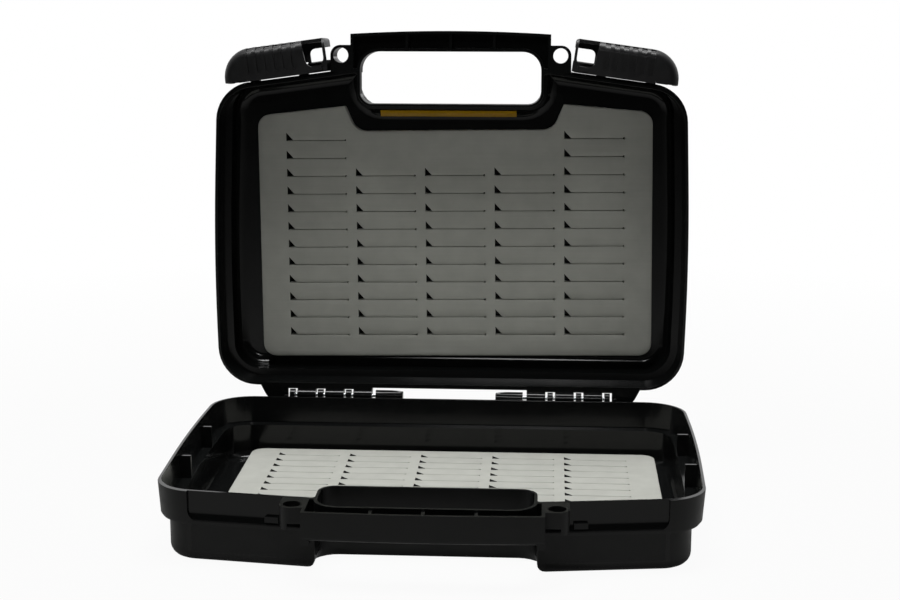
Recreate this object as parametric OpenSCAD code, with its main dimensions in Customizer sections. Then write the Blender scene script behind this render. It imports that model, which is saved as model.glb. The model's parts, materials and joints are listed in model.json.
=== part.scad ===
// Fly box: a shallow case with a carrying handle, two front latches, a lid that
// opens just past upright, and a sheet of slit foam glued into each half.
// The origin is the middle of the underside. X runs across the front, Y to the hinge.

/* [Case] */
// Overall width of the case
case_w = 363.5; // [350:0.5:376]
// Depth of the case, from its back wall to the front wall beside the handle
case_d = 245; // [238:1:256]
// Height of the base up to its rim
base_h = 48; // [46:1:56]
// Height of the lid above its rim
lid_h = 41; // [40:1:50]
// Angle at which the open lid stands
lid_open = 93.4; // [80:0.1:95]
// Gap between the two rims when the lid is shut
rim_gap = 0.3; // [0.2:0.1:0.8]
// Radius of the front and back corners, seen from above
corner_r = 30; // [27:1:36]
// Radius of the bow in each side
bow_r = 1780; // [1500:10:1800]
// How far each side falls in between its widest point and the front corner
bow_front = 4.3; // [3.5:0.1:4.8]
// How far each side falls in between its widest point and the back corner
bow_back = 3.1; // [2.5:0.1:3.6]
// Distance of the widest point behind the middle of the case
widest_y = 20; // [14:1:26]
// Angle at which the front wall falls back from the handle
front_slope = 7.8; // [6:0.1:9]

/* [Walls] */
// Thickness of the walls and panels
wall = 2.2; // [1.8:0.1:2.6]
// Height of the wide band around each rim
band_h = 22; // [20:1:24]
// How far the bands lean in over their height, at the sides and the back
band_lean = 1.8; // [0.5:0.1:2]
// How far the base's tub stands in from its rim
base_step = 9; // [7:0.5:9.5]
// How far the lid's tub stands in from its rim
lid_step = 7; // [5:0.5:7]
// How far the front of a tub stands in from the rim
front_step = 0.5; // [0.4:0.1:1]
// Radius of the rim's edges
rim_r = 0.5; // [0.3:0.1:0.8]
// Radius of the band's lower edge
band_r = 1.6; // [1:0.1:2]
// Radius of the band's corners beside the hand hole
band_corner_r = 2; // [1:0.5:3]
// Radius between the lid's walls and its panel
edge_r = 11.5; // [10:0.5:13]
// Radius between the base's walls and its underside
foot_r = 8; // [6:0.5:12]
// How far that edge leans in behind the hand hole, against its radius
foot_lean = 0.25; // [0.2:0.05:1]
// Radius of the tub's corners beside the handle
pocket_r = 10; // [8:0.5:12]
// Thickness of the stiffening ribs
rib_t = 2; // [1.5:0.1:3]
// Distance between the two ribs on each side
rib_pitch = 72; // [60:1:80]
// Distance of the ribs' middle behind the middle of the case
rib_y = 14; // [6:1:22]
// Gap between the top of a rib and the rim
rib_drop = 4; // [2:0.5:8]

/* [Handle] */
// Overall width of the handle
handle_w = 151.3; // [146:0.1:156]
// How far the handle stands out in front of the case
handle_reach = 25.8; // [24:0.1:30]
// Extra reach in the middle of the arched bar
handle_arch = 2.3; // [1:0.1:3]
// Height of each half of the bar
bar_h = 19; // [17:0.5:20]
// Radius of the bar's outer edge
bar_r = 3; // [2:0.5:5]
// Width of the end ribs of the bar
bar_foot_w = 5; // [4:0.1:6]
// How far the end ribs reach past the bar
bar_foot_h = 3; // [1:0.5:4]
// Width of the hand hole
hole_w = 137; // [132:0.5:140]
// Distance from the front wall back to the rear edge of the hand hole
hole_back = 26.6; // [25:0.1:28]
// Thickness of the bar
bar_t = 13.1; // [12:0.1:14]
// Corner radius of the hand hole on the case side
hole_r_back = 9; // [7:0.5:11]
// Corner radius of the hand hole on the bar side
hole_r_front = 14; // [10:0.5:16]
// Height of the collar around the hand hole
collar_h = 13.2; // [12:0.1:15]
// Distance between the cross ribs in the bar
cross_rib_pitch = 33; // [28:1:38]
// Gap between the top of a cross rib and the rim
cross_rib_drop = 1; // [0.5:0.5:4]

/* [Padlock lugs] */
// Width of each padlock lug
lug_w = 15.3; // [14:0.1:15.4]
// How far each padlock lug stands out from the front wall
lug_reach = 17.5; // [16:0.1:20]
// Outer corner radius of the padlock lugs
lug_r = 7.5; // [5:0.5:9]
// Radius of the padlock holes
lug_hole_r = 5.7; // [5:0.1:6]
// Distance of a padlock hole from the handle's side
lug_hole_x = 7.4; // [7:0.1:8]
// Distance of a padlock hole in front of the front wall
lug_hole_y = 9.8; // [9:0.1:11]
// Height of the lugs on the base
lug_h_base = 10.6; // [9:0.1:12]
// Height of the lugs on the lid
lug_h_lid = 24; // [20:0.5:26]
// How far the tab under a base lug hangs down
tab_h = 4.4; // [3:0.1:6]
// Distance of the tab from the middle of the padlock hole, outward
tab_x = 2.4; // [1:0.1:4]
// Distance of the tab from the middle of the padlock hole, to the front
tab_y = 2.2; // [1:0.1:4]
// Gap between the tab and the padlock hole
tab_gap = 0.5; // [0.3:0.1:1]

/* [Latch recess] */
// Depth of the recess behind each latch
recess_d = 2; // [1.6:0.1:2.5]
// How far the recess stops short of the latch's outer end
recess_short = 16; // [15:0.5:25]
// Height of the recess in the base
recess_h = 20.3; // [18:0.1:21]
// Height of the recess in the lid
recess_h_lid = 15; // [14:0.5:17]
// Depth at which the base recess starts to curve out
scoop_z = 12; // [10:0.5:14]
// Radius of the recess's outer lower corner
recess_r = 8; // [6:0.5:10]

/* [Hinge] */
// Distance of the hinge axis behind the back wall
hinge_back = 7; // [6.5:0.1:8]
// Radius of the hinge barrels
barrel_r = 4.2; // [3.8:0.1:4.6]
// Radius of the steel hinge pins
hinge_pin_r = 1.5; // [1.2:0.1:2]
// Radial play of a pin where a barrel turns on it
pin_play = 0.06; // [0.02:0.01:0.1]
// Inner end of each hinge, from the middle of the case
hinge_start = 36; // [30:1:40]
// How far the first knuckle's top falls towards its inner end
knuckle_fall = 1.6; // [0.8:0.1:2.4]
// Depth of the lip on the lid's rim between the hinges
lip_d = 1.2; // [0.6:0.1:1.6]
// Length of the pin's grip in the first knuckle
pin_grip = 8; // [5:0.5:12]
// Gap between the first knuckle and the first lid barrel
first_gap = 3; // [2:0.5:5]
// Inner end of the first lid barrel, from the middle of the case
barrel_start = 60; // [58:1:64]
// Length of each lid barrel
barrel_w = 14.5; // [13:0.1:15]
// Length of each narrow base knuckle
knuckle_w = 4.2; // [3.5:0.1:5]
// Gap between a lid barrel and a base knuckle
knuckle_gap = 1.6; // [1:0.1:2]
// Number of lid barrels in each hinge
barrels = 3; // [2:1:3]
// How far the webs of the barrels run down the back wall
web_drop = 8; // [6:0.5:12]
// Thickness of the lid's hinge flange
flange_t = 2.4; // [2:0.1:3]
// How far the lid's end gussets reach past the last knuckle
gusset_w = 22; // [15:1:26]
// How far the lid's end gussets reach past the hinge axis
gusset_d = 3.4; // [2:0.1:4]
// Corner radius of the lid's end gussets
gusset_r = 6; // [4:0.5:8]

/* [Latches] */
// Distance from the outer end of each latch to the case's widest side
latch_side = 11.4; // [8:0.1:14]
// Distance of a latch from the handle's side, along the front wall
latch_start = 15.9; // [15.8:0.1:18]
// Thickness of each latch, from back to front
latch_t = 25; // [23:0.5:27]
// Gap between a latch and the front wall
latch_gap = 0.3; // [0.2:0.1:0.8]
// Angle by which a latch can be pressed in past its rest
press_angle = 2.5; // [1:0.1:3]
// Gap left between a pressed latch and the wall beyond the recess
press_gap = 0.1; // [0.1:0.1:0.5]
// How far a latch reaches below the rim
latch_down = 11; // [10.4:0.1:11.6]
// How far a latch reaches above the rim
latch_up = 24; // [22:0.5:26]
// Wall of the latches
latch_wall = 2.6; // [2.2:0.1:3]
// Radius of a latch's outer end, seen from above
latch_end_r = 22; // [18:0.5:22]
// Radius of a latch's inner corner at the wall
latch_inner_r = 9; // [8:0.5:10]
// Radius of a latch's inner front corner
latch_front_r = 2; // [1:0.5:3]
// Radius of a latch's lower edge
latch_edge_r = 7; // [5:0.5:8]
// Radius of a latch's upper edge
latch_top_r = 3; // [2:0.5:4]
// Radius of the latch pivot barrel
pivot_r = 4; // [3.6:0.1:4.4]
// Gap between the pivot barrel's outer end and the latch's outer end
pivot_inset = 6; // [5:0.5:12]
// Radius of the steel latch pins
latch_pin_r = 1.25; // [1:0.05:1.5]
// How far a latch pin lies inside a latch's inner end
latch_pin_in = 1.2; // [0.5:0.1:3]
// How far a latch pin lies inside a latch's outer end
latch_pin_out = 8.4; // [7.5:0.1:12]
// Width of the lid bosses that carry a latch
boss_w = 7.2; // [6:0.1:9]
// Distance of the first boss from a latch's inner end
boss_start = 19; // [17.5:0.5:22]
// Distance of the second boss from a latch's outer end
boss_end = 15.4; // [13:0.1:22]
// Play around a boss
boss_play = 0.6; // [0.4:0.1:1]
// Number of grip grooves
grooves = 6; // [3:1:6]
// Distance of the first groove from a latch's inner end
groove_start = 24; // [23:0.5:26]
// Distance of the last groove from a latch's outer end
groove_end = 21.9; // [18:0.1:26]
// Width of a grip groove
groove_w = 4; // [3:0.1:4.5]
// Depth of a grip groove
groove_d = 1.4; // [0.8:0.1:1.6]
// Distance of the grooves' rounded ends from a latch's back
groove_back = 5; // [4:0.5:8]
// How far the grooves run up a latch's front
groove_up = 16; // [10:1:24]
// Width of the loop around a latch's window
loop_t = 2; // [1.6:0.1:3]
// Length of the window behind the loop
window_w = 13.6; // [12:0.1:15]
// How much longer the window is at a latch's front
window_flare = 2.4; // [0:0.1:4]
// Distance of the window from a latch's back
window_back = 4.1; // [3.8:0.1:6]
// Radius of the window's corner away from the loop's end
window_r = 6.4; // [4:0.1:6.5]
// Width of the strip left in front of the open end of a latch
end_strip = 6.8; // [5:0.1:9]
// Length of the open end beyond the loop
end_w = 14.1; // [12:0.1:16]
// Corner radius of the open end
end_r = 4; // [2:0.5:5]
// Wall left between the open end and the pivot barrel
end_wall = 0.2; // [0.2:0.1:1]
// Length of the hook below a latch
hook_h = 8.4; // [8:0.1:9]
// Width of the hook
hook_w = 7; // [5:0.1:8]
// Thickness of the hook
hook_t = 2; // [1.6:0.1:2.4]
// Distance of the hook from a latch's inner end
hook_start = 3.4; // [3:0.1:5]
// Distance of the hook from a latch's back
hook_back = 2.9; // [2.7:0.1:3.4]
// Length of the hook's toe
toe_len = 1.6; // [1.4:0.1:1.8]
// Height of the hook's toe
toe_h = 1.7; // [1.2:0.1:2]
// How far the catch stands out of the recess
catch_d = 3; // [2.6:0.1:3.2]
// Width of the catch
catch_w = 9; // [8:0.1:10]
// Depth of the catch below the rim
catch_z = 13.4; // [13:0.1:13.6]
// Height of the catch
catch_h = 3.8; // [3.4:0.1:4]

/* [Foam] */
// Gap between the sides of a foam sheet and the case's widest sides
foam_side = 28.5; // [27:0.5:33]
// Gap between the front edge of a foam sheet and the front wall
foam_front = 29.5; // [26.5:0.5:36]
// Thickness of the foam sheets
foam_t = 9.5; // [6:0.5:12]
// Corner radius of the foam sheets
foam_r = 10; // [6:0.5:12]
// Distance between the back edge of a sheet and the back wall
foam_back = 18.5; // [18:0.5:23]
// Angle of a sheet's front edge
foam_slope = 5.7; // [3:0.1:7]
// How far the notch reaches past the hand hole on each side
notch_side = 8; // [6:0.5:9]
// Distance between the hand hole and the notch's floor
notch_back = 22.5; // [21:0.1:25]
// Radius of the notch's inner corners
notch_r = 12; // [8:0.5:14]
// How much wider the notch is at its mouth, on each side
notch_flare = 8.5; // [7:0.5:10]
// Corner radius of the notch's mouth
mouth_r = 1; // [0.5:0.5:4]
// Angle by which the lid's sheet is glued askew
lid_foam_turn = 0.8; // [0:0.1:1]
// How far the lid's sheet lies towards the front
lid_foam_y = 1.3; // [0:0.1:2]
// How far the lid's sheet lies to the right
lid_foam_x = 2.4; // [-4:0.1:4]
// How far the base's sheet lies to the right
base_foam_x = 4; // [-4:0.1:4]
// Distance between the columns of slits
col_pitch = 54.1; // [50:0.1:55]
// Distance between the rows of slits
row_pitch = 13.95; // [12:0.05:14.1]
// Number of columns
column_count = 5; // [3:1:5]
// Number of rows in the outer columns
row_count = 12; // [6:1:12]
// Number of rows that the columns behind the notch lack
short_count = 2; // [2:1:4]
// Length of a slit with its notch
slit_len = 46; // [40:0.5:48]
// Width of a slit
slit_w = 0.5; // [0.3:0.1:0.8]
// Diameter of the hole that ends a slit
slit_end_d = 1.6; // [1:0.1:2]
// Width of the triangular notch at a slit's end
tri_w = 5.8; // [4:0.1:7]
// Height of the triangular notch
tri_h = 6.4; // [4:0.1:8]
// Gap between the first slit and the sheet's back edge
slit_margin = 16.7; // [12:0.1:18]

/* [Label] */
// Width of the plain label behind the hand hole
label_w = 106; // [90:1:106]
// Distance of the label's middle to the left
label_x = 3.5; // [0:0.5:8]
// Thickness of the label
label_t = 0.25; // [0.2:0.05:0.4]

/* [Hidden] */
front = -case_d / 2;
back = case_d / 2;
hinge_y = back + hinge_back;
half_w = handle_w / 2;
hole_half = hole_w / 2;
hole_y = front + hole_back;
bar_y = front - handle_reach;
hole_front = bar_y + bar_t;
bow_turn = atan(bow_front / (widest_y - front)) + atan(bow_back / (back - widest_y));
widest_x = case_w / 2 + bow_r * (1 / cos(bow_turn / 2) - 1);
front_corner_x = widest_x - bow_front;
back_corner_x = widest_x - bow_back;
lug_x = half_w + lug_hole_x;
// Angle between the rings of the edge radius
edge_angle = 18;
// How far the bands lean in at the front, and the height over which a ledge steps in
front_lean = 0.3;
ledge = 0.2;
latch_end = (case_w / 2 - latch_side - half_w) / cos(front_slope);
latch_len = latch_end - latch_start;
recess_len = latch_end - recess_short;
boss_pitch = latch_len - boss_start - boss_w - boss_end;
groove_pitch = (latch_len - groove_start - groove_end) / (grooves - 1);
pin_start = latch_start + latch_pin_in;
pin_end = latch_end - latch_pin_out;
pivot_y = latch_gap + pivot_r;
pivot_z = latch_up - pivot_r;
boss_r = pivot_r - boss_play;
first_knuckle = barrel_start + barrel_w + knuckle_gap;
hinge_pitch = barrel_w + knuckle_w + 2 * knuckle_gap;
hinge_end = first_knuckle + (barrels - 1) * hinge_pitch + knuckle_w;
// Overlap of features that grow out of a wall, and overshoot of cutting tools
root = 1;
past = 5;
sharp = 0.4;
plastic = "#1b1b1c";
latch_plastic = "#252527";
steel = "#b4b6b8";
foam_grey = "#b3b4ad";
label_yellow = "#caa312";

// ---- outlines: lists of [x, y, corner radius, steps round the corner] ----

function unit(v) = v / norm(v);
function left_of(v) = [-v.y, v.x];
function xy(p) = [p.x, p.y];
function before(p, i) = xy(p[(i + len(p) - 1) % len(p)]);
function after(p, i) = xy(p[(i + 1) % len(p)]);

// The outline moved in by d, with its corner radii to match
function inset(p, d) = [
    for (i = [0:len(p) - 1])
        let (
            b = xy(p[i]),
            u = unit(b - before(p, i)),
            v = unit(after(p, i) - b),
            n = (left_of(u) + left_of(v)) / (1 + u * v),
            r = cross(u, v) > 0 ? p[i][2] - d : p[i][2] + d
        )
        [b.x + n.x * d, b.y + n.y * d, max(r, sharp), p[i][3]]
];

// The outline's points, with each corner turned into an arc
function rounded(p) = [
    for (i = [0:len(p) - 1])
        let (
            b = xy(p[i]),
            r = p[i][2],
            u = unit(before(p, i) - b),
            v = unit(after(p, i) - b),
            half = acos(u * v) / 2,
            c = b + unit(u + v) * r / sin(half),
            s = b + u * r / tan(half) - c,
            e = b + v * r / tan(half) - c,
            a = atan2(s.y, s.x),
            turn = (atan2(e.y, e.x) - a + 540) % 360 - 180,
            n = p[i][3]
        )
        for (k = [0:n])
            c + r * [cos(a + turn * k / n), sin(a + turn * k / n)]
];

function mirrored(p) = [for (i = [len(p) - 1:-1:0]) [-p[i].x, p[i].y, p[i][2], p[i][3]]];

// Front wall line at distance x from the middle
function front_line(x) = front + (x - half_w) * tan(front_slope);

// Half outline of the case, from the hand hole round the front corner to the back
function half_plan(front_in, hole_in, corner, ahead) = [
    [hole_half - hole_in, hole_y - hole_in - ahead, hole_r_back - ahead, 6],
    [hole_half - hole_in, front_line(hole_half - hole_in) + front_in, corner, 6],
    [front_corner_x, front_line(front_corner_x) + front_in, corner_r, 10],
    [widest_x, widest_y, bow_r, 7],
    [back_corner_x, back, corner_r, 10]
];

function plan(front_in, hole_in, corner, ahead) =
    let (h = half_plan(front_in, hole_in, corner, ahead)) concat(h, mirrored(h));

// A ring of points: [z, inset, front_in, hole_in, corner radius beside the handle, and,
// where it isn't 0, how far the wall behind the hand hole stands ahead]
function ring(k) =
    let (outline = plan(k[2], k[3], k[4], is_undef(k[5]) ? 0 : k[5]))
    [for (q = rounded(inset(outline, k[1]))) [q.x, q.y, k[0]]];

// Faces that cut a ring of n points into one part, or into strips. The strips join
// the inner and the outer side of each half, so they suit the case's bent outline.
function one_face(n) = [[for (i = [0:n - 1]) i]];
function strip_faces(n) =
    let (h = n / 2)
    concat(
        [[0, h - 1, h, n - 1]],
        [for (start = [0, h]) for (i = [0:h / 2 - 2])
            [start + i, start + i + 1, start + h - 2 - i, start + h - 1 - i]]
    );

// A solid through rings of equal length, lowest first, with the given end faces
module loft(rings, ends) {
    n = len(rings[0]);
    top = (len(rings) - 1) * n;
    polyhedron(
        points = [for (r = rings) for (q = r) q],
        faces = concat(
            ends,
            [for (f = ends) [for (i = [len(f) - 1:-1:0]) top + f[i]]],
            [for (k = [0:n:top - n]) for (i = [0:n - 1])
                let (j = (i + 1) % n)
                [k + i, k + n + i, k + n + j, k + j]]
        ),
        convexity = 10
    );
}

module case_loft(profile) {
    rings = [for (k = profile) ring(k)];
    loft(rings, strip_faces(len(rings[0])));
}

module block_loft(rings) {
    loft(rings, one_face(len(rings[0])));
}

module both_sides() {
    children();
    mirror([1, 0, 0]) children();
}

// ---- one half of the case, rim up at z = 0 and the panel at z = -depth ----

// Ring of a tub whose wall stands at inset d, where step is the tub's own inset
function tub_ring(z, d, step, ahead) = [z, d, front_step - step, step - wall, pocket_r, ahead];

// Ring of a band at depth z, at inset d and its lean. The front leans less and stands
// in by front_in more, and the wall behind the hand hole stands off it by off_hole more.
function band_ring(z, d, front_in, off_hole, r) =
    let (lean = band_lean * z / band_h)
    [-z, lean + d, front_in + (front_lean / band_lean - 1) * lean, lean - off_hole, r];

// Rings of the edge of the given radius between wall and panel, at the distance r
// from its centre. Behind the hand hole the edge leans in by only a part of that.
function edge_rings(depth, step, radius, r, part) = [
    for (a = [90:-edge_angle:0])
        tub_ring(-(depth - radius) - r * sin(a), step + radius - r * cos(a), step,
                 (1 - part) * r * (1 - cos(a)))
];

module outside(depth, step, radius, part) {
    r = band_corner_r;
    case_loft(concat(
        edge_rings(depth, step, radius, radius, part),
        [
            tub_ring(-band_h - ledge, step, step, 0),
            band_ring(band_h, band_r, front_step - front_lean - band_r, wall - band_r, r),
            band_ring(band_h - band_r, 0, 0, wall, r),
            band_ring(collar_h + ledge, 0, 0, wall, r),
            band_ring(collar_h, 0, 0, 0, r)
        ],
        [for (a = [0:45:90]) [rim_r * (sin(a) - 1), rim_r * (1 - cos(a)), 0, 0, r]]
    ));
}

module inside(depth, step, radius, part) {
    r = band_corner_r + wall;
    case_loft(concat(
        edge_rings(depth, step, radius, radius - wall, part),
        [
            tub_ring(-band_h + wall - ledge, step + wall, step, 0),
            band_ring(band_h - wall, wall, recess_d, wall, r),
            band_ring(collar_h - wall + ledge, wall, recess_d, wall, r),
            band_ring(collar_h - wall, wall, recess_d, 0, r)
        ],
        [for (a = [0:45:90]) [rim_r * (sin(a) - 1), wall - rim_r * (1 - cos(a)), recess_d, 0, r]],
        [[root, wall - rim_r, recess_d, 0, r]]
    ));
}

// Hand hole, grown by g
module hand_hole(g) {
    polygon(rounded(inset([
        [-hole_half, hole_front, hole_r_front, 10],
        [hole_half, hole_front, hole_r_front, 10],
        [hole_half, hole_y, hole_r_back, 10],
        [-hole_half, hole_y, hole_r_back, 10]
    ], -g)));
}

// Outline of the handle block, arched in front, moved in by d
function bar_outline(d) = concat(
    [for (i = [-1:1 / 8:1])
        [(half_w - d) * i, bar_y + d - handle_arch * (1 - i * i)]],
    [[half_w - d, front + wall + root], [-half_w + d, front + wall + root]]
);

module handle() {
    difference() {
        union() {
            block_loft(concat(
                [for (a = [90:-30:0])
                    [for (q = bar_outline(bar_r * (1 - cos(a))))
                        [q.x, q.y, -bar_h + bar_r - bar_r * sin(a)]]],
                [[for (q = bar_outline(0)) [q.x, q.y, 0]]]
            ));
            both_sides()
                translate([half_w - bar_foot_w, bar_y + root, -bar_h - bar_foot_h])
                    cube([bar_foot_w, bar_t, bar_foot_h + past]);
        }
        translate([0, 0, -bar_h - bar_foot_h - past])
            linear_extrude(bar_h + bar_foot_h + 2 * past) hand_hole(0);
        difference() {
            translate([0, 0, -bar_h + wall])
                linear_extrude(bar_h) polygon(bar_outline(wall));
            translate([0, 0, -bar_h])
                linear_extrude(bar_h + past) hand_hole(wall);
            translate([-half_w, front, -bar_h])
                cube([handle_w, wall + past, bar_h + past]);
            for (i = [-1:1])
                translate([i * cross_rib_pitch - rib_t / 2, bar_y - past, -bar_h])
                    cube([rib_t, bar_t + past, bar_h - cross_rib_drop]);
        }
    }
}

// Frame whose origin is on the front wall at the handle's right side: X runs
// outward along the wall, Y out of it and Z up.
module at_wall() {
    translate([half_w, front, 0])
        rotate([0, 0, front_slope])
            mirror([0, 1, 0])
                children();
}

// Padlock lug hanging from the rim
module padlock_lug(height) {
    rear = front + wall + root;
    tip = front - lug_reach;
    translate([half_w - root, 0, -height])
        linear_extrude(height)
            polygon(rounded([
                [0, rear, sharp, 1],
                [0, tip, sharp, 1],
                [lug_w + root, tip, lug_r, 8],
                [lug_w + root, rear, sharp, 1]
            ]));
}

// Padlock hole, grown by g
module padlock_hole(g) {
    translate([lug_x, front - lug_hole_y, -lug_h_base - past])
        cylinder(r = lug_hole_r + g, h = lug_h_base + lug_h_lid + 2 * past, $fn = 64);
}

// Tab that carries on the outer front part of the base lug's ring
module lug_tab() {
    difference() {
        intersection() {
            padlock_lug(lug_h_base + tab_h);
            translate([lug_x + tab_x, front - lug_reach - past, -lug_h_base - tab_h])
                cube([lug_w, past + lug_reach - lug_hole_y - tab_y, lug_h_base + tab_h]);
        }
        padlock_hole(tab_gap);
    }
}

// Hollow behind a latch. With a scoop its floor curves out to the tub below.
module latch_recess(height, scoop) {
    floor_line = [for (t = [0:1 / 8:1])
        [-recess_d * (scoop ? 1 - t * t : 1), -scoop_z - (height - scoop_z) * t]];
    at_wall()
        intersection() {
            translate([-past, 0, 0])
                rotate([90, 0, 90])
                    linear_extrude(recess_len + past)
                        polygon(concat([[past, root], [-recess_d, root]], floor_line, [[past, -height]]));
            translate([0, 2 * past, 0])
                rotate([90, 0, 0])
                    linear_extrude(4 * past)
                        polygon(rounded([
                            [-past, -height, sharp, 1],
                            [recess_len, -height, recess_r, 8],
                            [recess_len, 2 * root, sharp, 1],
                            [-past, 2 * root, sharp, 1]
                        ]));
        }
}

module stiffening_ribs() {
    both_sides()
        for (side = [-1, 1])
            translate([
                case_w / 2 - base_step - wall,
                rib_y + side * rib_pitch / 2 - rib_t / 2,
                -band_h + root
            ])
                cube([base_step - sharp, rib_t, band_h - root - rib_drop]);
}

// ---- hinge ----

// A barrel of length w on the hinge axis, with its inner end at x
module barrel(x, w) {
    translate([x, hinge_y, 0])
        rotate([0, 90, 0])
            cylinder(r = barrel_r, h = w, $fn = 48);
}

// Bore or pin of radius r on the hinge axis
module hinge_axle(r, end) {
    start = barrel_start - first_gap - pin_grip;
    translate([start, hinge_y, 0])
        rotate([0, 90, 0])
            cylinder(r = r, h = end - start, $fn = 48);
}

// Web from the back wall to a barrel, below the rim
module barrel_web(x, w) {
    translate([x, back, 0])
        rotate([90, 0, 90])
            linear_extrude(w)
                polygon([
                    [-wall + sharp, -rim_gap],
                    [hinge_back, -rim_gap],
                    [hinge_back, -barrel_r],
                    [-wall + sharp, -barrel_r - web_drop]
                ]);
}

module base_hinge() {
    first_w = barrel_start - first_gap - hinge_start;
    arch_w = first_w - pin_grip;
    arch_r = (arch_w * arch_w / knuckle_fall + knuckle_fall) / 2;
    difference() {
        union() {
            barrel(hinge_start, first_w);
            barrel_web(hinge_start, first_w);
            for (i = [0:barrels - 1]) {
                barrel(first_knuckle + i * hinge_pitch, knuckle_w);
                barrel_web(first_knuckle + i * hinge_pitch, knuckle_w);
            }
        }
        hinge_axle(hinge_pin_r, hinge_end + past);
        translate([hinge_start, hinge_y + 2 * barrel_r, 0])
            rotate([90, 0, 0])
                linear_extrude(4 * barrel_r)
                    difference() {
                        translate([-past, 0])
                            square([past + arch_w, 2 * barrel_r]);
                        translate([arch_w, barrel_r - arch_r])
                            circle(r = arch_r, $fn = 96);
                    }
    }
}

module lid_hinge() {
    flange_end = hinge_end + knuckle_gap;
    difference() {
        union() {
            for (i = [0:barrels - 1]) {
                barrel(barrel_start + i * hinge_pitch, barrel_w);
                mirror([0, 0, 1])
                    barrel_web(barrel_start + i * hinge_pitch, barrel_w);
            }
            translate([0, back - root, rim_gap])
                cube([barrel_start, root + lip_d, flange_t]);
            translate([barrel_start, back - root, rim_gap])
                cube([flange_end - barrel_start, root + hinge_back - barrel_r - rim_gap, flange_t]);
            translate([flange_end, back - root, rim_gap])
                linear_extrude(flange_t)
                    polygon(rounded([
                        [gusset_w, 0, sharp, 1],
                        [gusset_w - gusset_r, root + hinge_back + gusset_d, gusset_r, 6],
                        [0, root + hinge_back + gusset_d, sharp, 1],
                        [0, 0, sharp, 1]
                    ]));
        }
        hinge_axle(hinge_pin_r + pin_play, hinge_end + past);
    }
}

// ---- base ----

// Catch under which a latch's hook snaps
module latch_catch() {
    middle = latch_start + hook_start + hook_w / 2;
    at_wall()
        translate([middle - catch_w / 2, -recess_d - root, -catch_z - catch_h])
            cube([catch_w, catch_d + root, catch_h]);
}

module base_shell() {
    color(plastic)
        translate([0, 0, base_h]) {
            difference() {
                union() {
                    difference() {
                        outside(base_h, base_step, foot_r, foot_lean);
                        inside(base_h, base_step, foot_r, foot_lean);
                        both_sides() latch_recess(recess_h, true);
                    }
                    handle();
                    both_sides() {
                        padlock_lug(lug_h_base);
                        lug_tab();
                        latch_catch();
                    }
                }
                both_sides() padlock_hole(0);
            }
            stiffening_ribs();
            both_sides() base_hinge();
        }
}

// ---- lid ----

// Puts what is modelled on the shut lid where the open lid carries it
module on_open_lid() {
    translate([0, hinge_y, base_h])
        rotate([-lid_open, 0, 0])
            translate([0, -hinge_y, 0])
                children();
}

module latch_bosses() {
    for (i = [0, 1])
        translate([latch_start + boss_start + i * boss_pitch, pivot_y, pivot_z]) {
            rotate([0, 90, 0])
                cylinder(r = boss_r, h = boss_w, $fn = 48);
            translate([0, -pivot_y - recess_d - root / 2, -boss_r])
                cube([boss_w, pivot_y + recess_d + root / 2, 2 * boss_r]);
        }
}

// Bore or pin of radius r on a latch's pivot
module latch_axle(r, start, end) {
    translate([start, pivot_y, pivot_z])
        rotate([0, 90, 0])
            cylinder(r = r, h = end - start, $fn = 48);
}

module lid_shell() {
    color(plastic)
        on_open_lid()
            difference() {
                union() {
                    translate([0, 0, rim_gap])
                        mirror([0, 0, 1]) {
                            difference() {
                                outside(lid_h, lid_step, edge_r, 1);
                                inside(lid_h, lid_step, edge_r, 1);
                                both_sides() latch_recess(recess_h_lid, false);
                            }
                            handle();
                            both_sides() padlock_lug(lug_h_lid);
                        }
                    both_sides() {
                        at_wall() latch_bosses();
                        lid_hinge();
                    }
                }
                both_sides() {
                    at_wall() latch_axle(latch_pin_r, latch_start, latch_end);
                    padlock_hole(0);
                }
            }
}

module hinge_pin() {
    color(steel)
        translate([0, 0, base_h])
            hinge_axle(hinge_pin_r, hinge_end);
}

module latch_pin() {
    color(steel)
        on_open_lid()
            at_wall()
                latch_axle(latch_pin_r, pin_start, pin_end);
}

// ---- latches ----

// Outline of a latch seen from above, moved in by d except at its inner end and
// at its back, which is moved out by out
function latch_plan(d, out) = rounded(inset([
    [latch_start - d, latch_gap - d - out, latch_inner_r, 8],
    [latch_end, latch_gap - d - out, sharp, 1],
    [latch_end, latch_gap + latch_t, latch_end_r, 12],
    [latch_start - d, latch_gap + latch_t, latch_front_r, 2]
], d));

// Latch block, moved in by g all over
module latch_block(g, out) {
    low = latch_edge_r - g;
    high = max(latch_top_r - g, sharp);
    profile = concat(
        [for (a = [90:-22.5:0]) [-latch_down + latch_edge_r - low * sin(a), g + low * (1 - cos(a))]],
        [for (a = [0:30:90]) [latch_up - g - high + high * sin(a), g + high * (1 - cos(a))]]
    );
    block_loft([for (k = profile) [for (q = latch_plan(k[1], out)) [q.x, q.y, k[0]]]]);
}

// Hollow of a latch, open at its back
module latch_hollow() {
    intersection() {
        latch_block(latch_wall, root);
        translate([latch_start + loop_t, -past, -latch_down])
            cube([latch_len, latch_t + past, latch_down + latch_up]);
    }
}

// Window in a latch's lower face, round at the wall
module latch_window() {
    start = latch_start + loop_t;
    rear = latch_gap + window_back;
    inner_r = latch_inner_r - loop_t;
    translate([0, 0, -latch_down - past])
        linear_extrude(past + latch_edge_r)
            polygon(rounded([
                [start, rear, inner_r, 8],
                [start + window_w, rear, window_r, 8],
                [start + window_w + window_flare, rear + latch_t, sharp, 1],
                [start, rear + latch_t, sharp, 1]
            ]));
}

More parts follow.
